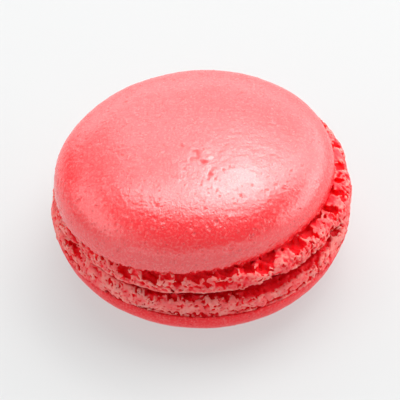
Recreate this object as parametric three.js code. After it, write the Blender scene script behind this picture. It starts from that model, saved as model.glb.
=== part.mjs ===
// A French macaron: two baked almond shells on a thin layer of jam.
//
// A shell is a smooth dome of skin over a foot, the ruffled crumb that the batter pushes out as it
// rises. It is described as it is baked, flat side down on height 0 with the crown up. The lower shell
// lies the other way up, crown down, and the upper one rests on the filling, a little askew. Its dome
// slid to the front left of its foot in the oven, so the foot stands out most at the back right.
//
// Millimetres and degrees, +Z up. The origin is the middle of the flat spot that the macaron rests on.
// Azimuth 0 is +X, azimuth 90 is +Y, and azimuth -90, which is -Y, is the front.

import * as THREE from "three";

const { degToRad, euclideanModulo } = THREE.MathUtils;

// Driving dimensions. A pocket is a hollow that bursting steam leaves in the foot. A lip curl lifts the
// foot's edge off the flat side, or lets it sag past it where the rise is negative.
const LOWER_SHELL = {
  name: "lower_shell",
  crownUp: false,
  seed: 5,
  dome: { radius: 22.5, height: 7.0, fullness: 2.26, oval: 0.02, ovalAzimuth: 90, x: 0, y: 0 },
  tuck: { depth: 0.65, inset: 0.6 },
  foot: { height: 3.2, neckRadius: 21.7, radius: 22.5, fullness: 1.6, lipHeight: 0.6, lipInset: 0.4 },
  lipCurls: [
    { azimuth: -62, rise: 0.8, halfWidth: 13 },
    { azimuth: -40, rise: 0.6, halfWidth: 10 },
    { azimuth: 2, rise: -0.5, halfWidth: 22 },
  ],
  flatSpotRadius: 6,
  pockets: {
    placed: [],
    rule: {
      count: 26,
      from: -180,
      to: 180,
      halfWidth: [0.7, 1.3],
      depth: [0.4, 0.8],
      belowTop: [0.6, 2.3],
    },
    halfHeight: 0.5,
  },
};
const UPPER_SHELL = {
  name: "upper_shell",
  crownUp: true,
  seed: 11,
  dome: { radius: 20.6, height: 8.7, fullness: 2.35, oval: 0.04, ovalAzimuth: 33, x: -1.0, y: -1.1 },
  tuck: { depth: 0.95, inset: 0.9 },
  foot: { height: 3.1, neckRadius: 19.7, radius: 22.4, fullness: 3.2, lipHeight: 0.4, lipInset: 0.15 },
  lipCurls: [
    { azimuth: -66, rise: 0.8, halfWidth: 9 },
    { azimuth: -48, rise: 0.4, halfWidth: 10 },
    { azimuth: -30, rise: 1.0, halfWidth: 8 },
    { azimuth: 5, rise: -0.8, halfWidth: 20 },
  ],
  flatSpotRadius: 0,
  pockets: {
    // The large ones of the front, each in its place. The rule spreads the others round the back.
    placed: [
      { azimuth: -144, halfWidth: 1.1, depth: 1.6, belowTop: 0.8 },
      { azimuth: -121, halfWidth: 1.3, depth: 1.5, belowTop: 0.8 },
      { azimuth: -107, halfWidth: 2.0, depth: 2.1, belowTop: 0.9 },
      { azimuth: -95, halfWidth: 1.1, depth: 1.5, belowTop: 0.8 },
      { azimuth: -85, halfWidth: 1.1, depth: 1.4, belowTop: 1.0 },
      { azimuth: -66, halfWidth: 2.0, depth: 1.8, belowTop: 0.8 },
      { azimuth: -47, halfWidth: 1.8, depth: 2.0, belowTop: 0.8 },
      { azimuth: -26, halfWidth: 1.0, depth: 1.7, belowTop: 0.7 },
      { azimuth: -18, halfWidth: 1.0, depth: 1.7, belowTop: 0.8 },
      { azimuth: -9, halfWidth: 1.1, depth: 1.9, belowTop: 0.7 },
      { azimuth: -1, halfWidth: 0.9, depth: 1.6, belowTop: 0.7 },
      { azimuth: 7, halfWidth: 1.0, depth: 1.8, belowTop: 0.7 },
      { azimuth: 18, halfWidth: 1.2, depth: 1.8, belowTop: 0.7 },
    ],
    rule: {
      count: 11,
      from: 30,
      to: 206,
      halfWidth: [0.9, 2.1],
      depth: [1.2, 2.0],
      belowTop: [0.7, 0.9],
    },
    halfHeight: 1.05,
  },
};
const UPPER_PLACE = { x: 0.25, y: -0.1, z: 11.85, tiltX: -1.03, tiltY: -2.1 };
const RECESS = { radius: 21.2, depth: 0.55, slope: 0.6 };
const FILLING = { name: "filling", radius: 20.3, bulge: 0.3, clearance: 0.12 };

// The ruffle of a foot's edge, as waves round it, and the crumb, as shallow waves over its face.
const RUFFLE = [
  { reach: 0.2, lobes: 7, phase: -3.04 },
  { reach: 0.13, lobes: 12, phase: 4 },
  { reach: 0.1, lobes: 21, phase: 2.3 },
];
const CRUMB = [
  { reach: 0.12, lobes: 31, slant: 2.9, phase: 0 },
  { reach: 0.1, lobes: 47, slant: -3.7, phase: 2 },
];

const SHELL_COLOUR = 0xf2656b;
const SHELL_ROUGHNESS = 0.45;
const FILLING_COLOUR = 0x8f0b1c;
const FILLING_ROUGHNESS = 0.3;

// Fineness of the mesh.
const SHELL_SEGMENTS = 136;
const FILLING_SEGMENTS = 68;
const DOME_STEPS = 8;
const TUCK_STEPS = 2;
const FOOT_STEPS = 8;

// Heights of a dome's rows crowd towards its crown by this power, where the slope is least.
const DOME_CROWDING = 1.25;
// How far the pockets cut into the lip, as a share of their depth higher up.
const LIP_HOLLOWING = 0.2;
// How much of a lip curl is left where the recess begins.
const CURL_AT_RECESS = 0.7;

// The lower shell's height, from its flat spot to the top of its foot.
const LOWER_HEIGHT = LOWER_SHELL.foot.height + LOWER_SHELL.tuck.depth + LOWER_SHELL.dome.height;

const between = (low, high, share) => low + (high - low) * share;
const turnBetween = (a, b) => euclideanModulo(a - b + 180, 360) - 180;

// A repeatable row of numbers from 0 to 1.
function draws(seed) {
  const MODULUS = 2147483647;
  const MULTIPLIER = 16807;
  let state = seed;
  return () => {
    state = (state * MULTIPLIER) % MODULUS;
    return state / MODULUS;
  };
}

// How much wider the dome is at an azimuth than its mean radius, as a factor.
function ovalFactor({ oval, ovalAzimuth }, azimuth) {
  return 1 + oval * Math.cos(2 * degToRad(azimuth - ovalAzimuth));
}

// How far the foot's edge stands out past its mean radius at an azimuth.
function ruffleReach(azimuth) {
  return RUFFLE.reduce(
    (sum, { reach, lobes, phase }) => sum + reach * Math.sin(lobes * degToRad(azimuth) + phase),
    0,
  );
}

// How far the lip has curled up at an azimuth.
function lipCurl({ lipCurls }, azimuth) {
  return lipCurls.reduce(
    (sum, { azimuth: middle, rise, halfWidth }) =>
      sum + rise * Math.exp(-((turnBetween(azimuth, middle) / halfWidth) ** 2)),
    0,
  );
}

// Every pocket of a foot: the placed ones, then those that the rule spreads evenly with a little chance.
function pocketsOf({ pockets, seed }) {
  const { placed, rule } = pockets;
  const draw = draws(seed);
  const spacing = (rule.to - rule.from) / rule.count;
  const spread = Array.from({ length: rule.count }, (_, i) => ({
    azimuth: rule.from + spacing * (i + between(0.2, 0.8, draw())),
    halfWidth: between(...rule.halfWidth, draw()),
    depth: between(...rule.depth, draw()),
    belowTop: between(...rule.belowTop, draw()),
  }));
  return [...placed, ...spread];
}

// How deep a foot is hollowed at an azimuth and a height: the deepest pocket there, and the crumb.
function hollowDepth(shell, pockets, azimuth, height) {
  const scoops = pockets.map(({ azimuth: middle, halfWidth, depth, belowTop }) => {
    const across = (degToRad(turnBetween(azimuth, middle)) * shell.foot.radius) / halfWidth;
    const up = (height - shell.foot.height + belowTop) / shell.pockets.halfHeight;
    return depth * Math.sqrt(Math.max(0, 1 - across ** 2 - up ** 2));
  });
  const crumb = CRUMB.reduce(
    (sum, { reach, lobes, slant, phase }) =>
      sum + reach * (1 + Math.sin(lobes * degToRad(azimuth) + slant * height + phase)),
    0,
  );
  return Math.max(...scoops) + crumb / 2;
}

// The shell's outline as baked, from the crown to the middle of its flat side. A point's footShare says
// how far it belongs to the foot and not the dome, its hollowing how far the pockets cut into it, and its
// curling how far it goes up with the lip.
function shellOutline({ dome, tuck, foot, flatSpotRadius }) {
  const equator = foot.height + tuck.depth;
  const crown = equator + dome.height;
  const outline = [];
  const add = (radius, height, { footShare = 0, hollowing = 0, curling = 0 } = {}) =>
    outline.push({ radius, height, footShare, hollowing, curling });

  add(0, crown);
  if (flatSpotRadius) add(flatSpotRadius, crown);
  for (let i = flatSpotRadius ? 2 : 1; i <= DOME_STEPS; i += 1) {
    const turn = (Math.PI / 2) * (i / DOME_STEPS) ** DOME_CROWDING;
    const radius = dome.radius * Math.sin(turn) ** (2 / dome.fullness);
    add(radius, equator + dome.height * Math.cos(turn) ** (2 / dome.fullness));
  }
  for (let i = 1; i <= TUCK_STEPS; i += 1) {
    const turn = (Math.PI / 2) * (i / TUCK_STEPS);
    add(dome.radius - tuck.inset * (1 - Math.cos(turn)), equator - tuck.depth * Math.sin(turn));
  }
  for (let i = 0; i <= FOOT_STEPS; i += 1) {
    const down = i / FOOT_STEPS;
    const out = (1 - (1 - down) ** foot.fullness) ** (1 / foot.fullness);
    const radius = between(foot.neckRadius, foot.radius, out);
    const height = between(foot.height, foot.lipHeight, down);
    const hollowing = i === FOOT_STEPS ? LIP_HOLLOWING : 1;
    add(radius, height, { footShare: out, hollowing, curling: 1 - height / foot.height });
  }
  add(foot.radius - foot.lipInset, 0, { footShare: 1, curling: 1 });
  add(RECESS.radius, 0, { footShare: 1, curling: CURL_AT_RECESS });
  add(RECESS.radius - RECESS.slope, RECESS.depth, { footShare: 1 });
  add(0, RECESS.depth, { footShare: 1 });
  return outline;
}

// One shell as a solid of revolution, then made oval, ruffled, hollowed and curled point by point.
function shellGeometry(shell) {
  const { dome, crownUp } = shell;
  const outline = shellOutline(shell);
  const pockets = pocketsOf(shell);
  const facing = crownUp ? [...outline].reverse() : outline;
  const standing = (height) => (crownUp ? height : LOWER_HEIGHT - height);
  const profile = facing.map(({ radius, height }) => new THREE.Vector2(radius, standing(height)));
  const geometry = new THREE.LatheGeometry(profile, SHELL_SEGMENTS);
  geometry.rotateX(Math.PI / 2);
  const { position } = geometry.attributes;
  for (let i = 0; i < position.count; i += 1) {
    const { radius: mean, height, footShare, hollowing, curling } = facing[i % facing.length];
    const segment = Math.floor(i / facing.length) % SHELL_SEGMENTS;
    const azimuth = (segment * 360) / SHELL_SEGMENTS - 180;
    const oval = between(1, ovalFactor(dome, azimuth), (mean / dome.radius) * (1 - footShare));
    const ruffled = mean > RECESS.radius ? footShare * ruffleReach(azimuth) : 0;
    const hollowed = hollowing && hollowing * hollowDepth(shell, pockets, azimuth, height);
    const radius = mean * oval + ruffled - hollowed;
    const domeShare = 1 - footShare;
    const x = domeShare * dome.x + radius * Math.cos(degToRad(azimuth));
    const y = domeShare * dome.y + radius * Math.sin(degToRad(azimuth));
    position.setXYZ(i, x, y, standing(height + curling * lipCurl(shell, azimuth)));
  }
  return geometry;
}

function shellMesh(shell) {
  const material = new THREE.MeshStandardMaterial({
    color: SHELL_COLOUR,
    roughness: SHELL_ROUGHNESS,
    metalness: 0,
  });
  const mesh = new THREE.Mesh(shellGeometry(shell), material);
  mesh.name = shell.name;
  return mesh;
}

// The height of the upper shell's recess over a point.
function upperRecessAt(x, y) {
  const slopeX = -Math.tan(degToRad(UPPER_PLACE.tiltY));
  const slopeY = Math.tan(degToRad(UPPER_PLACE.tiltX));
  return UPPER_PLACE.z + RECESS.depth + slopeX * (x - UPPER_PLACE.x) + slopeY * (y - UPPER_PLACE.y);
}

// The jam, which fills the space between the two recesses and is thicker where the gap is open. Its
// profile is one high, and each point is then set between the two recesses.
function fillingMesh() {
  const { name, radius, bulge, clearance } = FILLING;
  const profile = [
    new THREE.Vector2(0, 0),
    new THREE.Vector2(radius - bulge, 0),
    new THREE.Vector2(radius, 0.5),
    new THREE.Vector2(radius - bulge, 1),
    new THREE.Vector2(0, 1),
  ];
  const geometry = new THREE.LatheGeometry(profile, FILLING_SEGMENTS);
  geometry.rotateX(Math.PI / 2);
  const { position } = geometry.attributes;
  const floor = LOWER_HEIGHT - RECESS.depth + clearance;
  for (let i = 0; i < position.count; i += 1) {
    const top = upperRecessAt(position.getX(i), position.getY(i)) - clearance;
    position.setZ(i, between(floor, top, position.getZ(i)));
  }
  const material = new THREE.MeshStandardMaterial({
    color: FILLING_COLOUR,
    roughness: FILLING_ROUGHNESS,
    metalness: 0,
  });
  const mesh = new THREE.Mesh(geometry, material);
  mesh.name = name;
  return mesh;
}

const upper = new THREE.Group();
upper.position.set(UPPER_PLACE.x, UPPER_PLACE.y, UPPER_PLACE.z);
upper.rotation.set(degToRad(UPPER_PLACE.tiltX), degToRad(UPPER_PLACE.tiltY), 0);
upper.add(shellMesh(UPPER_SHELL));

const macaron = new THREE.Group();
macaron.add(shellMesh(LOWER_SHELL), fillingMesh(), upper);

export default macaron;
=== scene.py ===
"""A French macaron on a pale floor: two baked almond shells on a thin layer of jam.

A shell is made as it is baked, flat side down on height 0 and crown up, in millimetres. It is a smooth
skin over a foot of open crumb, which is a ring with every bubble taken out of it. The upper shell is
then tilted onto the jam and the lower one turned over.
"""

import math
from types import SimpleNamespace

import bmesh
import bpy
import numpy as np
import openvdb
from mathutils import Matrix, Vector, noise


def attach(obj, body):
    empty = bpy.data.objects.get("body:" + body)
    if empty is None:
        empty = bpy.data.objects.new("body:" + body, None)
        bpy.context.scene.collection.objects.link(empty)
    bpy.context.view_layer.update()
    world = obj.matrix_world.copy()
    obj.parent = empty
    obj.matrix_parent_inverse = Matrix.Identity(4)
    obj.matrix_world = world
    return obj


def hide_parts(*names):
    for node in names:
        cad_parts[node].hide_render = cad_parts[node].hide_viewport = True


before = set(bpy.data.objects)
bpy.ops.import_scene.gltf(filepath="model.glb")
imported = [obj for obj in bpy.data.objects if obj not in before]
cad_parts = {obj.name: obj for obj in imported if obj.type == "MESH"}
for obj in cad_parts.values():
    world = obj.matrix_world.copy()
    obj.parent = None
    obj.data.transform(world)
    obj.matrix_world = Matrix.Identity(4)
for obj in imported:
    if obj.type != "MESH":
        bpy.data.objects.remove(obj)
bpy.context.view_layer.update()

MM = 0.001

# --- Sizes, in millimetres and degrees -------------------------------------------------------------

# Caverns of the upper foot: azimuth, distance from the foot's axis, height, half width, half depth.
UPPER_CAVERNS = (
    (-159, 21.8, 1.3, 0.6, 0.6),
    (-151, 21.6, 1.6, 1.2, 1.0),
    (-148, 21.6, 0.8, 1.1, 1.0),
    (-142, 21.6, 2.2, 0.7, 0.6),
    (-137, 21.5, 2.4, 0.7, 0.6),
    (-138, 22.0, 0.7, 0.6, 0.5),
    (-131, 21.7, 2.2, 0.5, 0.5),
    (-126, 21.4, 2.5, 0.7, 0.6),
    (-121, 21.3, 2.6, 1.0, 1.0),
    (-120, 21.8, 1.8, 1.1, 0.7),
    (-111, 21.5, 2.3, 1.1, 1.0),
    (-107, 21.7, 1.8, 1.5, 1.1),
    (-98, 20.9, 2.9, 0.9, 0.7),
    (-99, 21.8, 1.9, 0.7, 0.5),
    (-101, 22.1, 0.5, 0.5, 0.4),
    (-94, 22.1, 0.9, 0.5, 0.4),
    (-92, 21.2, 2.7, 1.2, 0.8),
    (-87, 20.9, 2.9, 0.9, 0.8),
    (-88, 21.9, 1.8, 0.6, 0.5),
    (-82, 21.9, 1.5, 1.1, 0.7),
    (-79, 20.7, 2.9, 1.2, 0.8),
    (-70, 20.7, 2.9, 1.0, 0.8),
    (-65, 21.5, 2.6, 1.0, 0.6),
    (-60, 20.6, 3.0, 1.1, 0.9),
    (-50, 21.6, 2.4, 0.6, 0.5),
    (-47, 20.6, 2.9, 1.5, 1.0),
    (-38, 20.5, 3.0, 0.9, 0.7),
    (-38, 21.5, 2.5, 0.5, 0.5),
    (-28, 20.2, 2.8, 0.8, 0.7),
    (-25, 21.9, 2.0, 0.5, 0.5),
    (-22, 20.8, 2.7, 0.9, 1.0),
    (-12, 21.1, 2.7, 0.8, 0.8),
    (-5, 21.0, 2.7, 0.6, 0.8),
    (4, 21.3, 2.6, 0.9, 0.8),
    (16, 21.3, 2.6, 0.8, 0.9),
)
# The big cavern at the left runs on into the lower foot.
LOWER_CAVERNS = ((-151, 21.5, 0.3, 1.1, 0.9), (-147, 21.8, 0.8, 0.9, 0.8))

# A lip curl is its middle azimuth, its rise and its half width. A finish is roughness, specular, IOR.
UPPER = SimpleNamespace(
    name="upper",
    node="upper_shell",
    seed=11,
    dome_radius=20.6,
    dome_height=8.7,
    dome_fullness=2.35,
    oval=0.04,
    oval_azimuth=33,
    dome_x=-1.0,
    dome_y=-1.1,
    tuck_depth=0.95,
    tuck_inset=0.9,
    foot_height=3.1,
    neck_radius=19.7,
    foot_radius=22.4,
    foot_fullness=3.2,
    lip_height=0.4,
    lip_inset=0.15,
    lip_curls=((-66, 0.8, 9), (-48, 0.4, 10), (-30, 1.0, 8), (5, -0.8, 20)),
    caverns=UPPER_CAVERNS,
    back_caverns=13,
    skin_grid=300,
    skin_edge_radius=19.5,
    raggedness=0.35,
    ragged_from=0.94,
    redness=0.18,
    flat_spot_radius=0,
    skin_name="baked skin",
    skin_finish=(0.2, 1.0, 1.65),
)
LOWER = SimpleNamespace(
    name="lower",
    node="lower_shell",
    seed=5,
    dome_radius=22.5,
    dome_height=7.0,
    dome_fullness=2.26,
    oval=0.02,
    oval_azimuth=90,
    dome_x=0,
    dome_y=0,
    tuck_depth=0.65,
    tuck_inset=0.3,
    foot_height=3.2,
    neck_radius=22.5,
    foot_radius=22.5,
    foot_fullness=1.6,
    lip_height=1.3,
    lip_inset=0.75,
    lip_curls=((-62, 0.8, 13), (-40, 0.6, 10), (2, -0.5, 22)),
    caverns=LOWER_CAVERNS,
    back_caverns=0,
    skin_grid=230,
    skin_edge_radius=21.6,
    raggedness=0.12,
    ragged_from=0.96,
    redness=0.0,
    flat_spot_radius=6,
    skin_name="matt skin",
    skin_finish=(0.35, 0.4, 1.5),
)
LOWER_HEIGHT = LOWER.foot_height + LOWER.tuck_depth + LOWER.dome_height
UPPER_PLACE = (0.25, -0.1, 11.85)
UPPER_TILT_X = -1.03
UPPER_TILT_Y = -2.1

# Waves round the feet: reach, lobes, phase in radians.
RUFFLE = ((0.2, 7, -3.04), (0.13, 12, 4.0), (0.1, 21, 2.3))
RECESS_RADIUS = 21.2
RECESS_DEPTH = 0.55
RECESS_SLOPE = 0.6
CURL_INNER_RADIUS = 19.8
CURL_OUTER_RADIUS = 22.0
RING_INNER_RADIUS = 17.5
RING_TOP = 1.3
# The foot draws in under the skin by this share of the height above its top.
DRAW_IN = 0.2

# Caverns of the back: the azimuth where they start, how far round they reach, and their distance.
BACK_CAVERNS_START = 28
BACK_CAVERNS_SPAN = 165
BACK_CAVERN_RADIUS = 21.2
# Bubbles in a cavern: at least so many, and so many more for each millimetre of half width.
CAVERN_BUBBLES = 5
CAVERN_BUBBLES_PER_MM = 9
# Crevices where the lower foot leaves its skin: first and last azimuth.
CREVICES = ((-113, -98), (-96, -85), (-76, -68), (-63, -52), (-52, -46), (-44, -38))
CREVICE_STEP = 0.7
# Crevices of the back: how many, the azimuth where they start, and how far round they reach.
BACK_CREVICES = 16
BACK_CREVICES_START = -30
BACK_CREVICES_SPAN = 270
# First and last azimuth of where the two feet don't close on each other.
OPEN_SIDE = (-118, 165)

# Kinds of small bubbles: how many, least and most half size.
UPPER_SEAM = (430, 0.2, 0.48)
UPPER_SIDE = (260, 0.18, 0.36)
LOWER_EDGE = (320, 0.25, 0.55)
LOWER_FLAT = (360, 0.3, 0.6)
LOWER_SIDE = (180, 0.14, 0.3)
# The finest bubbles: how many, least, usual and most half size.
UPPER_FINE = (1700, 0.12, 0.15, 0.28)
LOWER_FINE = (1300, 0.12, 0.15, 0.25)

# The grid that a foot is carved in: its cells, and how far it reaches past the foot.
VOXEL = 0.13
GRID_MARGIN = 0.9
GRID_BOTTOM = -1.5
GRID_HEADROOM = 0.45
ADAPTIVITY = 0.35
# The bubbles' walls wander by this much, over about this length.
WANDER = 0.13
WANDER_LENGTH = 1.1
WANDER_WAVES = 6
# Roughness of the crumb: height, length, offset of the noise.
CRUMB_ROUGHNESS = ((0.13, 1.2, 3.0), (0.08, 0.55, 0.0), (0.06, 0.27, 7.0))
ROUGH_REACH = 0.3
ROUGH_INNER_RADIUS = RING_INNER_RADIUS + 0.6
ROUGH_BOTTOM = 1
ROUGH_HEADROOM = 0.7
# A place in the crumb is as shut in as the cells round it, to this many cells away, are full.
SHUT_IN_CELLS = 3
SHUT_IN_FROM = 0.48
SHUT_IN_SPAN = 0.3
# What adds to the crumb's red: painted shade for depth inside the side, for shut-in places and for the
# skin above, and random patches of tone.
SHADE_RED_WITH_DEPTH = 0.85
SHADE_RED_DEPTHS = (0.05, 0.6)
SHADE_RED_WHERE_SHUT_IN = 0.5
SHADE_RED_UNDER_SKIN = 0.6
RED_PATCHES = 0.5
RED_PATCH_LENGTH = 0.4

SKIN_UNDERSIDE = 1.1
FLAT_SPOT_BLEND = 2.5
RAGGED_BLEND = 0.03
# Unevenness of a skin: height, length, offset of the noise.
BROAD_UNEVENNESS = ((0.1, 7, 0.0), (0.025, 1.7, 3.0))
BAKED_GRAIN = (0.02, 0.75, 0.0)
FINE_GRAIN = (0.018, 0.36, 5.0)
GRAIN_STRETCH = (0.6, 1.25, 1.25)
# Dots on a skin: how many, least and most half width, height.
PIMPLES = (190, 0.13, 0.21, 0.07)
PINHOLES = (700, 0.12, 0.17, -0.1)
# The height that the skin's relief value spans from 0 to 1.
RELIEF_SPAN = 0.16
# Creases in the top where the batter closed over: start, end, half width, depth.
CREASES = (
    ((0.3, -4.0), (0.9, -5.3), 0.3, 0.12),
    ((1.0, -5.6), (1.8, -6.4), 0.32, 0.13),
    ((0.1, -5.4), (-0.4, -6.2), 0.3, 0.08),
    ((1.9, -3.9), (2.6, -5.3), 0.4, -0.07),
    ((-0.3, -3.2), (0.4, -3.5), 0.3, -0.06),
    ((-1.7, -2.8), (-0.9, -3.4), 0.26, 0.12),
    ((3.0, -7.6), (2.7, -8.3), 0.3, 0.08),
    ((-6.9, -3.7), (-5.9, -3.2), 0.13, 0.07),
    ((11.4, 2.3), (12.0, 2.2), 0.16, 0.07),
)
# The creases bend by up to this much, over this length.
CREASE_CROOK = 0.5
CREASE_CROOK_LENGTH = 0.9
# Pits in the top where a bubble burst: place, half width, depth.
PITS = (
    ((2.6, -8.7), 0.28, 0.12),
    ((3.4, -16.1), 0.22, 0.22),
    ((3.3, -9.5), 0.15, 0.12),
    ((4.5, -7.8), 0.14, 0.14),
    ((13.3, -9.8), 0.16, 0.12),
    ((-5.1, -13.6), 0.17, 0.16),
    ((-16.8, -9.7), 0.25, 0.16),
    ((-17.9, -6.0), 0.16, 0.12),
    ((-15.5, -4.2), 0.3, 0.06),
)

# The jam's edge: radius, and share of the way up.
JAM_PROFILE = ((0, 0), (20.2, 0), (20.8, 0.5), (20.2, 1), (0, 1))
JAM_STEPS = 360
JAM_SINK = 0.1
JAM_WAVE = 0.008
JAM_WAVE_LENGTH = 3

# --- Helpers -----------------------------------------------------------------------------------------


def between(low, high, share):
    return low + (high - low) * share


def smooth_step(low, high, value):
    share = np.clip((value - low) / (high - low), 0, 1)
    return share * share * (3 - 2 * share)


def noise_at(points, scale, offset=0.0):
    return np.array([noise.noise(p) for p in (points / scale + offset).tolist()])


def uneven(points, layers):
    """The sum of layers of noise, each with its height, length and offset."""
    return sum(height * noise_at(points, length, offset) for height, length, offset in layers)


def flare(shell, height):
    """How far the foot has come out from neck to full radius at a height, as a share."""
    down = np.clip((shell.foot_height - height) / (shell.foot_height - shell.lip_height), 0, 1)
    return (1 - (1 - down) ** shell.foot_fullness) ** (1 / shell.foot_fullness)


def ruffle(azimuth):
    return sum(reach * np.sin(lobes * azimuth + phase) for reach, lobes, phase in RUFFLE)


def side_radius(shell, azimuth, height):
    out = flare(shell, height)
    lip = np.clip((shell.lip_height - height) / shell.lip_height, 0, 1)
    radius = between(shell.neck_radius, shell.foot_radius, out) + out * ruffle(azimuth)
    return radius - shell.lip_inset * lip**2


def outside_foot(shell, x, y, z):
    """Distance out of the uncarved foot's side, negative inside it. It draws in under the skin."""
    back = 1 - flare(shell, z)
    radius = side_radius(shell, np.arctan2(y, x), z) - DRAW_IN * np.maximum(0, z - shell.foot_height)
    return np.hypot(x - back * shell.dome_x, y - back * shell.dome_y) - radius


def dome_reach(shell, azimuth):
    """How far the dome stands out over the foot, from the foot's axis."""
    wide = 1 + shell.oval * math.cos(2 * (azimuth - math.radians(shell.oval_azimuth)))
    return shell.dome_radius * wide + shell.dome_x * math.cos(azimuth) + shell.dome_y * math.sin(azimuth)


def foot_floor(shell, azimuth, radius):
    """Height of the foot's underside: a shallow recess inside a lip that curls up or down."""
    recess = RECESS_DEPTH * np.clip((RECESS_RADIUS - radius) / RECESS_SLOPE, 0, 1)
    curl = 0
    for middle, rise, half_width in shell.lip_curls:
        away = (azimuth - math.radians(middle) + math.pi) % (2 * math.pi) - math.pi
        curl = curl + rise * np.exp(-((away / math.radians(half_width)) ** 2))
    return recess + curl * smooth_step(CURL_INNER_RADIUS, CURL_OUTER_RADIUS, radius)


# --- The foot --------------------------------------------------------------------------------------


class Bubbles:
    """The bubbles of a foot: rows of x, y, z, azimuth, half width, half depth and half height."""

    def __init__(self, shell):
        self.shell = shell
        self.draw = np.random.default_rng(shell.seed)
        self.rows = []

    def add_at(self, azimuth, radius, height, wide, deep, tall):
        """A bubble at a distance from the foot's axis, which leans with the dome towards the top."""
        a = math.radians(azimuth)
        back = 1 - float(flare(self.shell, height))
        x = back * self.shell.dome_x + radius * math.cos(a)
        y = back * self.shell.dome_y + radius * math.sin(a)
        self.rows.append((x, y, height, a, wide, deep, tall))

    def add(self, azimuth, inward, height, wide, deep, tall):
        """A bubble at a depth inside the uncarved side."""
        radius = float(side_radius(self.shell, math.radians(azimuth), height)) - inward
        self.add_at(azimuth, radius, height, wide, deep, tall)

    def sizes(self, count, *limits):
        """So many half sizes, drawn one by one between two limits, or round a usual size."""
        pick = self.draw.triangular if len(limits) == 3 else self.draw.uniform
        for _ in range(count):
            yield pick(*limits)

    def around(self):
        return self.draw.uniform(-180, 180)

    def open_side(self):
        return self.draw.uniform(*OPEN_SIDE)


def add_caverns(bubbles):
    """A cavern is a cluster of bubbles that run into each other."""
    shell, draw = bubbles.shell, bubbles.draw
    caverns = list(shell.caverns)
    for i in range(shell.back_caverns):
        step = BACK_CAVERNS_SPAN / shell.back_caverns
        azimuth = BACK_CAVERNS_START + step * (i + draw.uniform(0.2, 0.8))
        height = draw.uniform(2.3, 2.8)
        half_width = draw.uniform(0.8, 2)
        half_depth = draw.uniform(0.7, 1.1)
        caverns.append((azimuth, BACK_CAVERN_RADIUS, height, half_width, half_depth))
    for azimuth, radius, height, half_width, half_depth in caverns:
        for _ in range(CAVERN_BUBBLES + round(half_width * CAVERN_BUBBLES_PER_MM)):
            size = draw.uniform(0.55, 0.85) * min(half_width, 0.95)
            spread = math.degrees((half_width - size) / shell.foot_radius)
            out = radius + draw.uniform(-1, 0.9) * max(0, half_depth - 0.6 * size)
            up = height + draw.uniform(-0.3, 0.3) * min(half_width, 1)
            turned = azimuth + draw.uniform(-spread, spread)
            bubbles.add_at(turned, out, up, size, size * 1.2, size * draw.uniform(0.8, 1))


def add_upper_crumb(bubbles):
    """Bubbles along the seam under the dome, bubbles on the side, and the finest ones all over it."""
    shell, draw = bubbles.shell, bubbles.draw
    top = shell.foot_height
    for size in bubbles.sizes(*UPPER_SEAM):
        azimuth = bubbles.around()
        out = dome_reach(shell, math.radians(azimuth)) + draw.uniform(-1.3, 0.1)
        bubbles.add_at(azimuth, out, top - draw.uniform(-0.1, 0.4), size * 1.3, size, size)
    for size in bubbles.sizes(*UPPER_SIDE):
        azimuth, inward = bubbles.around(), draw.uniform(0, 0.3)
        bubbles.add(azimuth, inward, top - draw.uniform(0.2, 2.2), size, size * 1.2, size)
    for size in bubbles.sizes(*UPPER_FINE):
        azimuth, inward = bubbles.around(), draw.uniform(-0.05, 0.1)
        bubbles.add(azimuth, inward, draw.uniform(0.35, top), size, size * 1.2, size)


def add_lower_crumb(bubbles):
    """Bubbles at the edge, on the flat side where it shows and on the side, and the finest ones."""
    draw = bubbles.draw
    top = bubbles.shell.foot_height
    for size in bubbles.sizes(*LOWER_EDGE):
        azimuth, inward = bubbles.open_side(), draw.uniform(0, 0.5)
        bubbles.add(azimuth, inward, draw.uniform(-0.3, 0.5), size * 0.8, size, size)
    for size in bubbles.sizes(*LOWER_FLAT):
        azimuth, radius = bubbles.open_side(), draw.uniform(20.4, 22)
        bubbles.add_at(azimuth, radius, draw.uniform(-0.2, 0.4), size, size, size)
    for size in bubbles.sizes(*LOWER_SIDE):
        azimuth, inward, height = bubbles.around(), draw.uniform(0, 0.25), draw.uniform(0.4, top)
        bubbles.add(azimuth, inward, height, size, size * 1.4, size * draw.uniform(1, 1.6))
    for size in bubbles.sizes(*LOWER_FINE):
        azimuth, inward = bubbles.around(), draw.uniform(-0.05, 0.1)
        bubbles.add(azimuth, inward, draw.uniform(0.1, top + 0.2), size, size * 1.2, size * 1.2)


def add_crevices(bubbles):
    """A crevice is a row of flat bubbles that parts the lower foot from its skin."""
    draw = bubbles.draw
    crevices = list(CREVICES)
    for i in range(BACK_CREVICES):
        step = BACK_CREVICES_SPAN / BACK_CREVICES
        start = BACK_CREVICES_START + step * (i + draw.uniform(0, 0.5))
        crevices.append((start, start + draw.uniform(3, 11)))
    for start, end in crevices:
        middle, sag = draw.uniform(0.25, 0.5), draw.uniform(-0.25, 0.25)
        for azimuth in np.arange(start, end, CREVICE_STEP):
            size = draw.uniform(0.2, 0.34)
            down = middle + sag * (azimuth - start) / (end - start) + draw.uniform(-0.1, 0.1)
            height = bubbles.shell.foot_height - down
            bubbles.add(azimuth, draw.uniform(0.1, 0.3), height, size * 1.2, size * 2.2, size * 0.8)


def bubbles_of(shell):
    bubbles = Bubbles(shell)
    add_caverns(bubbles)
    if shell is UPPER:
        add_upper_crumb(bubbles)
    else:
        add_lower_crumb(bubbles)
        add_crevices(bubbles)
    return bubbles.rows


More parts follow.
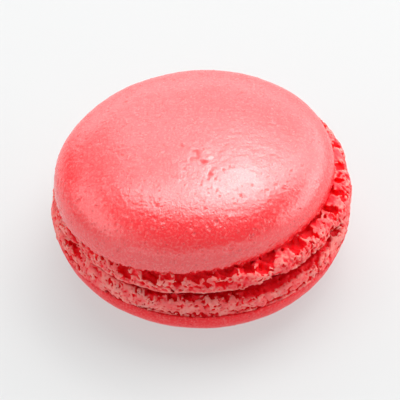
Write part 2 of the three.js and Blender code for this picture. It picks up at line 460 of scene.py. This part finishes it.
def blurred(solid, reach):
    """The mean of a grid over a cube of cells round each cell."""
    for axis in range(3):
        total = np.cumsum(solid, axis=axis, dtype=np.float32)
        last = solid.shape[axis] - 1
        cells = np.arange(last + 1)
        ahead = np.take(total, np.minimum(cells + reach, last), axis=axis)
        behind = np.take(total, np.maximum(cells - reach - 1, 0), axis=axis)
        solid = (ahead - behind) / (2 * reach + 1)
    return solid


def wander(shell, grids):
    """The grids of x, y and z, each shifted smoothly at random as a sum of waves."""
    draw = np.random.default_rng(shell.seed + 50)
    shifted = []
    for grid in grids:
        shift = np.zeros_like(grid)
        for _ in range(WANDER_WAVES):
            way = draw.normal(size=3)
            way = (2 * math.pi / WANDER_LENGTH * way / np.linalg.norm(way)).tolist()
            shift += np.sin(sum(w * g for w, g in zip(way, grids)) + draw.uniform(0, 2 * math.pi))
        shifted.append(grid + WANDER * math.sqrt(2 / WANDER_WAVES) * shift)
    return shifted


def foot_field(shell):
    """The foot's signed distance on a grid, positive outside, and the grid's first corner."""
    reach = shell.foot_radius + GRID_MARGIN
    side = np.arange(-reach, reach, VOXEL)
    heights = np.arange(GRID_BOTTOM, shell.foot_height + RING_TOP + GRID_HEADROOM, VOXEL)
    start = np.array((side[0], side[0], heights[0]))
    x, y, z = (grid.astype(np.float32) for grid in np.meshgrid(side, side, heights, indexing="ij"))
    r = np.hypot(x, y)
    field = np.maximum.reduce(
        (
            outside_foot(shell, x, y, z),
            foot_floor(shell, np.arctan2(y, x), r) - z,
            z - shell.foot_height - RING_TOP,
            RING_INNER_RADIUS - r,
        )
    )
    wx, wy, wz = wander(shell, (x, y, z))
    for bx, by, bz, a, wide, deep, tall in bubbles_of(shell):
        middle = np.array((bx, by, bz))
        margin = max(wide, deep, tall) + 2 * WANDER + 2 * VOXEL
        low = np.maximum(0, np.floor((middle - margin - start) / VOXEL)).astype(int)
        high = np.ceil((middle + margin - start) / VOXEL).astype(int) + 1
        part = tuple(slice(i, j) for i, j in zip(low, high))
        dx, dy, dz = wx[part] - bx, wy[part] - by, wz[part] - bz
        across = dy * math.cos(a) - dx * math.sin(a)
        inward = dx * math.cos(a) + dy * math.sin(a)
        size = min(wide, deep, tall)
        gap = (np.sqrt((across / wide) ** 2 + (inward / deep) ** 2 + (dz / tall) ** 2) - 1) * size
        field[part] = np.maximum(field[part], -gap)
    shows = (r > CURL_INNER_RADIUS) | ((r > ROUGH_INNER_RADIUS) & (z > ROUGH_BOTTOM))
    near = (np.abs(field) < ROUGH_REACH) & shows & (z < shell.foot_height + ROUGH_HEADROOM)
    points = np.stack((x[near], y[near], z[near]), axis=1)
    field[near] += uneven(points, CRUMB_ROUGHNESS)
    return field, start


def largest_part(points, triangles, quads):
    """Leaves out shut-in voids and loose crumbs: keeps what is joined to the most vertices."""
    label = np.arange(len(points))
    sides = [faces[:, [i, i + 1]] for faces in (triangles, quads) for i in range(faces.shape[1] - 1)]
    pairs = np.concatenate(sides)
    while True:
        least = np.minimum(label[pairs[:, 0]], label[pairs[:, 1]])
        new = label.copy()
        np.minimum.at(new, pairs[:, 0], least)
        np.minimum.at(new, pairs[:, 1], least)
        new = new[new]
        if (new == label).all():
            break
        label = new
    kept = label == np.bincount(label).argmax()
    number = np.cumsum(kept) - 1
    return points[kept], number[triangles[kept[triangles[:, 0]]]], number[quads[kept[quads[:, 0]]]]


def painted_crumb_shade_and_tone(shell, points, shut_in):
    """The crumb's red: painted shade, 1 deep in the foot, in narrow places and up under the skin, plus
    random patches of tone.
    """
    top = shell.foot_height
    depth = -outside_foot(shell, points[:, 0], points[:, 1], points[:, 2])
    # Painted shade: the red deepens with depth inside the side, in shut-in places and under the skin.
    painted_shade_and_tone = SHADE_RED_WITH_DEPTH * smooth_step(*SHADE_RED_DEPTHS, depth)
    painted_shade_and_tone = painted_shade_and_tone + SHADE_RED_WHERE_SHUT_IN * (shut_in - SHUT_IN_FROM) / SHUT_IN_SPAN
    painted_shade_and_tone += SHADE_RED_UNDER_SKIN * smooth_step(top - 0.15, top + 0.3, points[:, 2])
    painted_shade_and_tone += shell.redness + RED_PATCHES * noise_at(points, RED_PATCH_LENGTH, 4.0)
    return np.clip(painted_shade_and_tone, 0, 1).astype(np.float32)


def foot_mesh(shell):
    field, start = foot_field(shell)
    band = 3 * VOXEL
    grid = openvdb.FloatGrid(background=band)
    grid.copyFromArray(np.clip(field, -band, band).astype(np.float32))
    points, triangles, quads = grid.convertToPolygons(isovalue=0.0, adaptivity=ADAPTIVITY)
    points, triangles, quads = largest_part(points, triangles, quads)
    fullness = blurred((field < 0).astype(np.float32), SHUT_IN_CELLS)
    cells = tuple(np.rint(points).astype(int).clip(0, np.array(field.shape) - 1).T)
    points = points * VOXEL + start
    mesh = bpy.data.meshes.new(f"{shell.name}_foot")
    mesh.from_pydata(points.tolist(), [], [*triangles.tolist(), *quads.tolist()])
    # The crumb's painted shade and random tone go on its vertices.
    attribute = mesh.attributes.new("painted_shade_and_tone", "FLOAT", "POINT")
    attribute.data.foreach_set("value", painted_crumb_shade_and_tone(shell, points, fullness[cells]))
    return mesh


# --- The skin --------------------------------------------------------------------------------------


def skin_outline(shell):
    """Radius and height from the crown down to the tucked edge, closely spaced."""
    equator = shell.foot_height + shell.tuck_depth
    turn = np.linspace(0, math.pi / 2, 2000)
    radius = shell.dome_radius * np.sin(turn) ** (2 / shell.dome_fullness)
    height = equator + shell.dome_height * np.cos(turn).clip(0) ** (2 / shell.dome_fullness)
    if shell.flat_spot_radius:
        lift = 1 - smooth_step(shell.flat_spot_radius, shell.flat_spot_radius + FLAT_SPOT_BLEND, radius)
        height += (equator + shell.dome_height - height) * lift
    turn = np.linspace(0, math.pi / 2, 200)[1:]
    radius = np.append(radius, shell.dome_radius - shell.tuck_inset * (1 - np.cos(turn)))
    height = np.append(height, equator - shell.tuck_depth * np.sin(turn))
    return radius, height


def disc_from_square(u, v):
    """Turns square rings into round ones: share of the way out, and azimuth."""
    wide = np.abs(u) >= np.abs(v)
    share = np.where(wide, np.abs(u), np.abs(v))
    safe = np.where(share == 0, 1, np.where(wide, u, v))
    lean = math.pi / 4 * np.where(wide, v, u) / safe
    sideways = lean + np.where(u < 0, math.pi, 0)
    lengthways = math.pi / 2 - lean + np.where(v < 0, math.pi, 0)
    return share, np.where(wide, sideways, lengthways)


def dot_relief(points, middle, half_width, height):
    away = ((points - np.array(middle)) ** 2).sum(axis=1)
    return height * np.exp(-away / half_width**2)


def crease_relief(points, start, end, half_width, depth):
    start, end = np.array(start), np.array(end)
    along = end - start
    share = np.clip((points - start) @ along / (along @ along), 0, 1)
    away = ((points - start - share[:, None] * along) ** 2).sum(axis=1)
    return -depth * np.exp(-away / half_width**2)


def skin_relief(shell, points):
    """Broad unevenness, and fine relief: grain, pimples, pinholes, creases and pits."""
    draw = np.random.default_rng(shell.seed + 100)
    broad = uneven(points, BROAD_UNEVENNESS)
    fine = uneven(points * np.array(GRAIN_STRETCH), (BAKED_GRAIN,)) + uneven(points, (FINE_GRAIN,))
    for count, low, high, height in (PIMPLES, PINHOLES):
        for i in draw.integers(0, len(points), count):
            half_width = draw.uniform(low, high)
            near = np.abs(points - points[i]).max(axis=1) < 3 * half_width
            share = draw.uniform(0.4, 1)
            fine[near] += dot_relief(points[near], points[i], half_width, height * share)
    if shell is UPPER:
        flat = points[:, :2]
        bends = [noise_at(points, CREASE_CROOK_LENGTH, offset) for offset in (1.0, 6.0)]
        crooked = flat + CREASE_CROOK * np.stack(bends, axis=1)
        strength = 0.75 + noise_at(points, 0.6, 8.0)
        for start, end, half_width, depth in CREASES:
            fine += strength * crease_relief(crooked, start, end, half_width, depth)
        for middle, half_width, depth in PITS:
            fine += dot_relief(flat, middle, half_width, -depth)
    return broad, fine


def skin_net(shell):
    """A square net that closes below on one vertex, and how many of its vertices are on top."""
    bm = bmesh.new()
    bmesh.ops.create_grid(bm, x_segments=shell.skin_grid, y_segments=shell.skin_grid, size=1)
    on_top = len(bm.verts)
    rim = [e for e in bm.edges if e.is_boundary]
    inner = bmesh.ops.extrude_edge_only(bm, edges=rim)["geom"]
    inner_edges = [e for e in inner if isinstance(e, bmesh.types.BMEdge)]
    middle = bmesh.ops.extrude_edge_only(bm, edges=inner_edges)["geom"]
    middle_verts = [v for v in middle if isinstance(v, bmesh.types.BMVert)]
    bmesh.ops.pointmerge(bm, verts=middle_verts, merge_co=(0, 0, 0))
    mesh = bpy.data.meshes.new(f"{shell.name}_skin")
    bm.to_mesh(mesh)
    bm.free()
    return mesh, on_top


def skin_mesh(shell):
    mesh, on_top = skin_net(shell)
    points = np.empty(len(mesh.vertices) * 3)
    mesh.vertices.foreach_get("co", points)
    points = points.reshape(-1, 3)
    share, azimuth = disc_from_square(points[:, 0], points[:, 1])
    outline_radius, outline_height = skin_outline(shell)
    steps = np.hypot(np.diff(outline_radius), np.diff(outline_height))
    travelled = np.append(0, np.cumsum(steps))
    radius = np.interp(share * travelled[-1], travelled, outline_radius)
    height = np.interp(share * travelled[-1], travelled, outline_height)
    hidden = np.arange(len(points)) >= on_top
    radius = np.where(hidden, shell.skin_edge_radius * share, radius)
    height = np.where(hidden, shell.foot_height + SKIN_UNDERSIDE, height)
    swell = shell.oval * radius / shell.dome_radius
    widen = 1 + swell * np.cos(2 * (azimuth - math.radians(shell.oval_azimuth)))
    x = radius * np.cos(azimuth) * widen
    y = radius * np.sin(azimuth) * widen
    points = np.stack((x, y, height), axis=1)
    mesh.vertices.foreach_set("co", points.ravel())
    mesh.update()

    normals = np.empty(len(points) * 3)
    mesh.vertex_normals.foreach_get("vector", normals)
    normals = normals.reshape(-1, 3)
    normals *= np.sign((normals * (points - np.array((0, 0, shell.foot_height)))).sum(axis=1))[:, None]
    broad, fine = skin_relief(shell, points)
    free = np.where(hidden, 0, smooth_step(shell.flat_spot_radius - 1, shell.flat_spot_radius, radius))
    ragged = noise_at(points, 0.9, 9.0) + 0.6 * noise_at(points, 0.4, 2.0)
    ragged *= shell.raggedness * smooth_step(shell.ragged_from, shell.ragged_from + RAGGED_BLEND, share)
    points = points + normals * ((broad + fine + ragged) * free)[:, None]
    points += np.array((shell.dome_x, shell.dome_y, 0))
    if shell.flat_spot_radius:
        points[:, 2] = np.minimum(points[:, 2], outline_height[0])
    mesh.vertices.foreach_set("co", points.ravel())
    # The relief also paints shade into pits and creases and a highlight onto pimples, through the skin's
    # colour.
    relief = np.clip(0.5 + fine * free / RELIEF_SPAN, 0, 1).astype(np.float32)
    mesh.attributes.new("relief", "FLOAT", "POINT").data.foreach_set("value", relief)
    return mesh


# --- The jam ---------------------------------------------------------------------------------------


def jam_mesh():
    bm = bmesh.new()
    outline = [bm.verts.new((r, 0, h)) for r, h in JAM_PROFILE]
    edges = [bm.edges.new(pair) for pair in zip(outline, outline[1:])]
    bmesh.ops.spin(
        bm,
        geom=[*outline, *edges],
        axis=(0, 0, 1),
        cent=(0, 0, 0),
        angle=2 * math.pi,
        steps=JAM_STEPS,
        use_merge=True,
    )
    bmesh.ops.remove_doubles(bm, verts=bm.verts, dist=1e-5)
    bmesh.ops.recalc_face_normals(bm, faces=bm.faces)
    bottom = LOWER_HEIGHT - RECESS_DEPTH + JAM_SINK
    for v in bm.verts:
        top = (
            UPPER_PLACE[2]
            + RECESS_DEPTH
            - JAM_SINK
            - math.tan(math.radians(UPPER_TILT_Y)) * (v.co.x - UPPER_PLACE[0])
            + math.tan(math.radians(UPPER_TILT_X)) * (v.co.y - UPPER_PLACE[1])
        )
        reach = 1 + JAM_WAVE * noise.noise(v.co / JAM_WAVE_LENGTH) * (v.co.z > 0)
        v.co = (v.co.x * reach, v.co.y * reach, between(bottom, top, v.co.z))
    mesh = bpy.data.meshes.new("jam")
    bm.to_mesh(mesh)
    bm.free()
    return mesh


# --- Materials ---------------------------------------------------------------------------------------

# Red of the skin, from the bottom of a pit to the top of a pimple: darker in pits and creases as painted
# shade, paler on pimples as a painted highlight.
SKIN_STOPS = (
    (0.0, (0.62, 0.002, 0.008)),
    (0.3, (0.9, 0.004, 0.012)),
    (0.55, (0.93, 0.006, 0.015)),
    (0.85, (0.96, 0.1, 0.09)),
)
SKIN_PATCH = (0.94, 0.008, 0.019)
SKIN_FLECK = (0.96, 0.11, 0.112)
SKIN_PORE = (0.7, 0.004, 0.01)
# Creases and pits don't shine: the roughness at the bottom, and the relief where it ends.
PIT_ROUGHNESS = 0.85
PIT_TOP = 0.45
# Red of the crumb, from its open side to its deepest hollows, darkening there as painted shade, in pale
# patches and in red ones.
PALE_CRUMB_STOPS = (
    (0.0, (0.98, 0.28, 0.25)),
    (0.25, (0.98, 0.11, 0.11)),
    (0.5, (0.98, 0.018, 0.034)),
    (0.8, (0.97, 0.001, 0.014)),
    (1.0, (0.94, 0.0, 0.009)),
)
RED_CRUMB_STOPS = (
    (0.0, (0.98, 0.13, 0.13)),
    (0.25, (0.98, 0.05, 0.065)),
    (0.5, (0.98, 0.008, 0.022)),
    (0.8, (0.96, 0.001, 0.012)),
    (1.0, (0.92, 0.0, 0.008)),
)
CRUMB_PORE = (0.8, 0.003, 0.015)
JAM_RED = (0.42, 0.002, 0.006)
JAM_SEED = (0.25, 0.0, 0.002)
# How far light spreads under the surface, in millimetres and as shares of red, green and blue.
GLOW_LENGTH = 1.2
GLOW_SHARES = (1.0, 0.2, 0.15)
# The grain's pores are sunk by this share of its height.
PORE_SINK = 0.7
PORE_FADE = 0.1


def grain_group():
    """Fine baked grain: a height for the Bump node, a mask of pale flecks, one of small dark pores."""
    group = bpy.data.node_groups.new("baked grain", "ShaderNodeTree")
    for name in ("Grain Size", "Pore Spacing", "Pore Size"):
        group.interface.new_socket(name, in_out="INPUT", socket_type="NodeSocketFloat")
    for name in ("Height", "Flecks", "Pores"):
        group.interface.new_socket(name, in_out="OUTPUT", socket_type="NodeSocketFloat")
    nodes, links = group.nodes, group.links
    inputs = nodes.new("NodeGroupInput")
    outputs = nodes.new("NodeGroupOutput")
    place = nodes.new("ShaderNodeTexCoord")
    fine = nodes.new("ShaderNodeTexNoise")
    fine.inputs["Detail"].default_value = 3.0
    fine.inputs["Roughness"].default_value = 0.65
    pores = nodes.new("ShaderNodeTexVoronoi")
    for texture, spacing in ((fine, "Grain Size"), (pores, "Pore Spacing")):
        scale = nodes.new("ShaderNodeMath")
        scale.operation = "DIVIDE"
        scale.inputs[0].default_value = 1.0
        links.new(inputs.outputs[spacing], scale.inputs[1])
        links.new(scale.outputs[0], texture.inputs["Scale"])
        links.new(place.outputs["Object"], texture.inputs["Vector"])
    # A pore is where the distance to its middle is small, as a share of the spacing. Some are faint.
    pore = nodes.new("ShaderNodeMapRange")
    pore.inputs["From Max"].default_value = PORE_FADE
    links.new(inputs.outputs["Pore Size"], pore.inputs["From Min"])
    links.new(pores.outputs["Distance"], pore.inputs["Value"])
    apart = nodes.new("ShaderNodeSeparateColor")
    links.new(pores.outputs["Color"], apart.inputs["Color"])
    chosen = nodes.new("ShaderNodeMath")
    chosen.operation = "MULTIPLY"
    links.new(pore.outputs["Result"], chosen.inputs[0])
    links.new(apart.outputs["Red"], chosen.inputs[1])
    links.new(chosen.outputs[0], outputs.inputs["Pores"])
    together = nodes.new("ShaderNodeMath")
    together.operation = "MULTIPLY_ADD"
    together.inputs[1].default_value = -PORE_SINK
    links.new(chosen.outputs[0], together.inputs[0])
    links.new(fine.outputs["Fac"], together.inputs[2])
    links.new(together.outputs[0], outputs.inputs["Height"])
    flecks = nodes.new("ShaderNodeMapRange")
    flecks.inputs["From Min"].default_value = 0.48
    flecks.inputs["From Max"].default_value = 0.7
    links.new(fine.outputs["Fac"], flecks.inputs["Value"])
    links.new(flecks.outputs["Result"], outputs.inputs["Flecks"])
    return group


def material(name, colour, roughness, specular=0.5, subsurface=0.0, ior=1.5):
    made = bpy.data.materials.new(name)
    made.use_nodes = True
    shader = made.node_tree.nodes["Principled BSDF"]
    shader.inputs["Base Color"].default_value = (*colour, 1)
    shader.inputs["Roughness"].default_value = roughness
    shader.inputs["IOR"].default_value = ior
    shader.inputs["Specular IOR Level"].default_value = specular
    shader.inputs["Subsurface Weight"].default_value = subsurface
    shader.inputs["Subsurface Radius"].default_value = GLOW_SHARES
    shader.inputs["Subsurface Scale"].default_value = GLOW_LENGTH * MM
    return made


def add_grain(made, size, pore_spacing, pore_size, height):
    """Puts the grain on a material's Normal and gives back the group's node."""
    nodes, links = made.node_tree.nodes, made.node_tree.links
    grain = nodes.new("ShaderNodeGroup")
    grain.node_tree = GRAIN
    grain.inputs["Grain Size"].default_value = size * MM
    grain.inputs["Pore Spacing"].default_value = pore_spacing * MM
    grain.inputs["Pore Size"].default_value = pore_size
    bump = nodes.new("ShaderNodeBump")
    bump.inputs["Strength"].default_value = 1.0
    bump.inputs["Distance"].default_value = height * MM
    links.new(grain.outputs["Height"], bump.inputs["Height"])
    links.new(bump.outputs["Normal"], nodes["Principled BSDF"].inputs["Normal"])
    return grain


def ramp(made, source, stops):
    nodes, links = made.node_tree.nodes, made.node_tree.links
    node = nodes.new("ShaderNodeValToRGB")
    elements = node.color_ramp.elements
    while len(elements) < len(stops):
        elements.new(0.5)
    for element, (position, colour) in zip(elements, stops):
        element.position = position
        element.color = (*colour, 1)
    links.new(source, node.inputs["Fac"])
    return node.outputs["Color"]


def mixed(made, share, low, high):
    nodes, links = made.node_tree.nodes, made.node_tree.links
    node = nodes.new("ShaderNodeMix")
    node.data_type = "RGBA"
    links.new(share, node.inputs["Factor"])
    for socket, value in ((node.inputs["A"], low), (node.inputs["B"], high)):
        if isinstance(value, tuple):
            socket.default_value = (*value, 1)
        else:
            links.new(value, socket)
    return node.outputs["Result"]


def vertex_value(made, name):
    node = made.node_tree.nodes.new("ShaderNodeAttribute")
    node.attribute_name = name
    return node.outputs["Fac"]


def patches(made, size, low, high):
    """Soft patches of a size in millimetres, 0 to 1."""
    nodes, links = made.node_tree.nodes, made.node_tree.links
    place = nodes.new("ShaderNodeTexCoord")
    texture = nodes.new("ShaderNodeTexNoise")
    texture.inputs["Scale"].default_value = 1 / (size * MM)
    texture.inputs["Detail"].default_value = 4.0
    links.new(place.outputs["Object"], texture.inputs["Vector"])
    edge = nodes.new("ShaderNodeMapRange")
    edge.inputs["From Min"].default_value = low
    edge.inputs["From Max"].default_value = high
    links.new(texture.outputs["Fac"], edge.inputs["Value"])
    return edge.outputs["Result"]


def skin_material(name, roughness, specular, ior):
    made = material(name, (0.97, 0.03, 0.03), roughness, specular, subsurface=0.2, ior=ior)
    grain = add_grain(made, size=0.34, pore_spacing=0.6, pore_size=0.3, height=0.05)
    relief = vertex_value(made, "relief")
    # Painted shade in pits and creases and a painted highlight on pimples, from the relief.
    relief_shade_colour = ramp(made, relief, SKIN_STOPS)
    patched = mixed(made, patches(made, size=4.0, low=0.4, high=0.7), relief_shade_colour, SKIN_PATCH)
    flecked = mixed(made, grain.outputs["Flecks"], patched, SKIN_FLECK)
    pored = mixed(made, grain.outputs["Pores"], flecked, SKIN_PORE)
    shader = made.node_tree.nodes["Principled BSDF"]
    made.node_tree.links.new(pored, shader.inputs["Base Color"])
    shine = made.node_tree.nodes.new("ShaderNodeMapRange")
    shine.inputs["From Max"].default_value = PIT_TOP
    shine.inputs["To Min"].default_value = PIT_ROUGHNESS
    shine.inputs["To Max"].default_value = roughness
    made.node_tree.links.new(relief, shine.inputs["Value"])
    made.node_tree.links.new(shine.outputs["Result"], shader.inputs["Roughness"])
    return made


def crumb_material():
    made = material("open crumb", (0.97, 0.2, 0.17), roughness=0.6, specular=0.25, subsurface=0.5)
    grain = add_grain(made, size=0.25, pore_spacing=0.65, pore_size=0.34, height=0.08)
    painted_shade_and_tone = vertex_value(made, "painted_shade_and_tone")
    # The ramps turn the painted shade into a deeper red in the hollows; the patches are random tone.
    pale = ramp(made, painted_shade_and_tone, PALE_CRUMB_STOPS)
    red = ramp(made, painted_shade_and_tone, RED_CRUMB_STOPS)
    mottled = mixed(made, patches(made, size=1.8, low=0.42, high=0.6), pale, red)
    pored = mixed(made, grain.outputs["Pores"], mottled, CRUMB_PORE)
    made.node_tree.links.new(pored, made.node_tree.nodes["Principled BSDF"].inputs["Base Color"])
    return made


def jam_material():
    made = material("jam", (0.4, 0.001, 0.005), roughness=0.3, specular=0.3)
    grain = add_grain(made, size=0.7, pore_spacing=1.5, pore_size=0.3, height=0.15)
    seedy = mixed(made, grain.outputs["Flecks"], JAM_RED, JAM_SEED)
    made.node_tree.links.new(seedy, made.node_tree.nodes["Principled BSDF"].inputs["Base Color"])
    return made


# --- Putting it together -----------------------------------------------------------------------------

UPPER.place = (
    Matrix.Translation(UPPER_PLACE)
    @ Matrix.Rotation(math.radians(UPPER_TILT_X), 4, "X")
    @ Matrix.Rotation(math.radians(UPPER_TILT_Y), 4, "Y")
)
LOWER.place = Matrix.Translation((0, 0, LOWER_HEIGHT)) @ Matrix.Diagonal((1, 1, -1, 1))


def finish_piece(name, mesh, place, node, finish):
    mesh.transform(Matrix.Scale(MM, 4) @ place)
    bm = bmesh.new()
    bm.from_mesh(mesh)
    bmesh.ops.recalc_face_normals(bm, faces=bm.faces)
    bm.to_mesh(mesh)
    bm.free()
    mesh.shade_smooth()
    piece = bpy.data.objects.new(name, mesh)
    bpy.context.scene.collection.objects.link(piece)
    piece.data.materials.append(finish)
    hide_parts(node)
    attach(piece, "root")


GRAIN = grain_group()
CRUMB = crumb_material()
for shell in (UPPER, LOWER):
    finish = skin_material(shell.skin_name, *shell.skin_finish)
    finish_piece(f"{shell.name}_skin", skin_mesh(shell), shell.place, shell.node, finish)
    finish_piece(f"{shell.name}_foot", foot_mesh(shell), shell.place, shell.node, CRUMB)
finish_piece("jam", jam_mesh(), Matrix.Identity(4), "filling", jam_material())

# --- Floor, light, camera ------------------------------------------------------------------------------

FLOOR_HALF_WIDTH = 1500
TABLE_COLOUR = (0.3, 0.28, 0.28)
TABLE_GLOW = (0.91, 1, 1)
TABLE_GLOW_STRENGTH = 0.475
ROOM_STRENGTH = 0.3
# Softboxes: name, azimuth, elevation, width and height as seen from the macaron, radiance.
# Azimuth 90 is behind the macaron.
SOFTBOXES = (
    ("key_softbox", 58, 62, 34, 12, 4.0),
    ("bright_softbox", 64, 62, 21, 12, 4.9),
    ("high_back_softbox", 115, 62, 34, 12, 0.25),
    ("high_right_softbox", 30, 50, 26, 20, 1.2),
    ("overhead_softbox", 72, 79, 60, 20, 4.1),
    ("back_softbox", 78, 44, 62, 24, 2.0),
    ("low_back_softbox", 80, 14, 96, 24, 1.7),
    ("back_right_softbox", 30, 35, 30, 20, 1.8),
    ("back_left_softbox", 136, 36, 46, 20, 0.65),
    ("left_softbox", 180, 30, 50, 32, 1.2),
    ("right_softbox", 6, 15, 46, 28, 2.5),
    ("low_right_softbox", 38, 10, 40, 20, 0.8),
    ("front_left_softbox", -140, 28, 50, 36, 0.3),
    ("front_softbox", -90, 10, 130, 14, 1.0),
)
SOFTBOX_DISTANCE = 600
SOFTBOX_AIM_HEIGHT = 12
CAMERA_ELEVATION = 45
CAMERA_AIM = (-0.08, -1.38, 10.62)
CAMERA_DISTANCE = 400
CAMERA_LENS = 238.7
CAMERA_SENSOR = 36

floor_mesh = bpy.data.meshes.new("floor")
bm = bmesh.new()
bmesh.ops.create_grid(bm, x_segments=1, y_segments=1, size=FLOOR_HALF_WIDTH * MM)
bm.to_mesh(floor_mesh)
bm.free()
floor = bpy.data.objects.new("floor", floor_mesh)
bpy.context.scene.collection.objects.link(floor)
table = material("lit table", TABLE_COLOUR, roughness=0.8, specular=0.1)
table.node_tree.nodes["Principled BSDF"].inputs["Emission Color"].default_value = (*TABLE_GLOW, 1)
table.node_tree.nodes["Principled BSDF"].inputs["Emission Strength"].default_value = TABLE_GLOW_STRENGTH
floor.data.materials.append(table)

world = bpy.data.worlds.new("studio")
world.use_nodes = True
world.node_tree.nodes["Background"].inputs["Color"].default_value = (1, 1, 1, 1)
world.node_tree.nodes["Background"].inputs["Strength"].default_value = ROOM_STRENGTH
bpy.context.scene.world = world


def softbox(name, azimuth, elevation, width, height, radiance):
    """A rectangular light that faces the macaron."""
    distance = SOFTBOX_DISTANCE * MM
    light = bpy.data.lights.new(name, "AREA")
    light.shape = "RECTANGLE"
    light.size = 2 * distance * math.tan(math.radians(width) / 2)
    light.size_y = 2 * distance * math.tan(math.radians(height) / 2)
    light.energy = radiance * light.size * light.size_y * math.pi
    lamp = bpy.data.objects.new(name, light)
    a, e = math.radians(azimuth), math.radians(elevation)
    toward = Vector((math.cos(a) * math.cos(e), math.sin(a) * math.cos(e), math.sin(e)))
    lamp.location = toward * distance + Vector((0, 0, SOFTBOX_AIM_HEIGHT * MM))
    lamp.rotation_euler = toward.to_track_quat("Z", "Y").to_euler()
    bpy.context.scene.collection.objects.link(lamp)


for row in SOFTBOXES:
    softbox(*row)

camera_data = bpy.data.cameras.new("camera")
camera_data.sensor_width = CAMERA_SENSOR
camera_data.lens = CAMERA_LENS
camera = bpy.data.objects.new("camera", camera_data)
bpy.context.scene.collection.objects.link(camera)
elevation = math.radians(CAMERA_ELEVATION)
forward = Vector((0, math.cos(elevation), -math.sin(elevation)))
camera.location = Vector(CAMERA_AIM) * MM - forward * (CAMERA_DISTANCE * MM)
camera.rotation_euler = forward.to_track_quat("-Z", "Y").to_euler()
bpy.context.scene.camera = camera
bpy.context.scene.view_settings.view_transform = "Standard"
